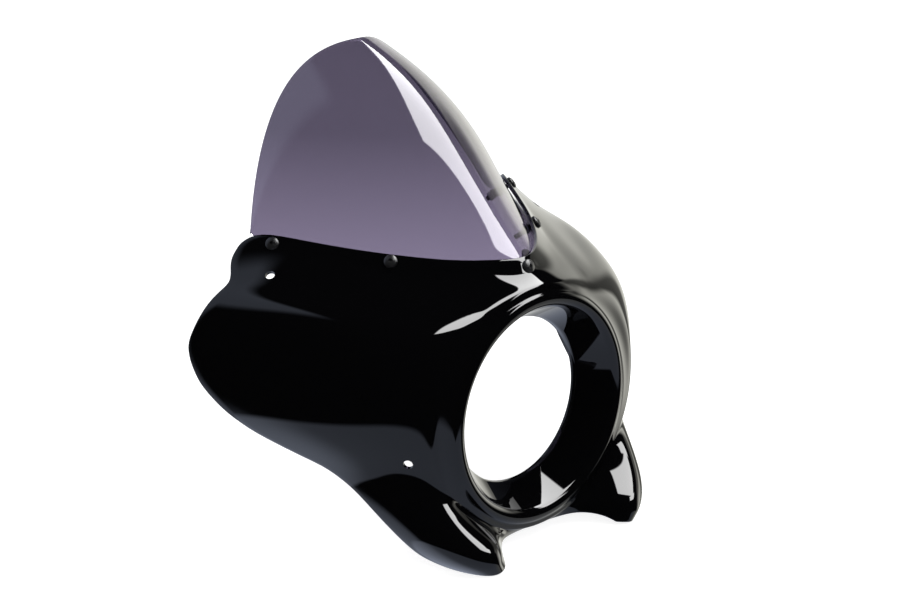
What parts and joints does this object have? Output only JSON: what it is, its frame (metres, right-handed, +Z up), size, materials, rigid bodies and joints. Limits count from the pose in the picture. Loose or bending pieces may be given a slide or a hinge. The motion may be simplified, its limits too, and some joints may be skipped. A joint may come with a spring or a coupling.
{
  "type": "headlight cowl",
  "caption": "Gloss black moulded motorcycle headlight cowl with round collar, swept flanks, pointed lower fins and a smoked windscreen screwed behind its upper edge.",
  "frame": {"origin": "middle of the short cylindrical land at the back of the collar, on the headlight axis", "axes": "+X to the right seen from the front, +Y back along the bike and along the headlight axis, +Z up"},
  "size_m": [0.48, 0.3104, 0.4513],
  "materials": {
    "gloss_black_shell": "polished black thermoformed plastic",
    "smoked_screen": "clear smoked acrylic, purple-grey",
    "black_screw": "satin black button head",
    "rubber_washer": "black rubber",
    "steel_nut": "zinc plated"
  },
  "bodies": {
    "root": {"cowl_shell": "gloss_black_shell", "windscreen": "smoked_screen", "screen_screw_centre": "black_screw", "screen_screw_left_inner": "black_screw", "screen_screw_left_outer": "black_screw", "screen_screw_right_inner": "black_screw", "screen_screw_right_outer": "black_screw", "screen_washer_centre": "rubber_washer", "screen_washer_left_inner": "rubber_washer", "screen_washer_left_outer": "rubber_washer", "screen_washer_right_inner": "rubber_washer", "screen_washer_right_outer": "rubber_washer", "screen_nut_centre": "steel_nut", "screen_nut_left_inner": "steel_nut", "screen_nut_left_outer": "steel_nut", "screen_nut_right_inner": "steel_nut", "screen_nut_right_outer": "steel_nut"}
  },
  "joints": []
}
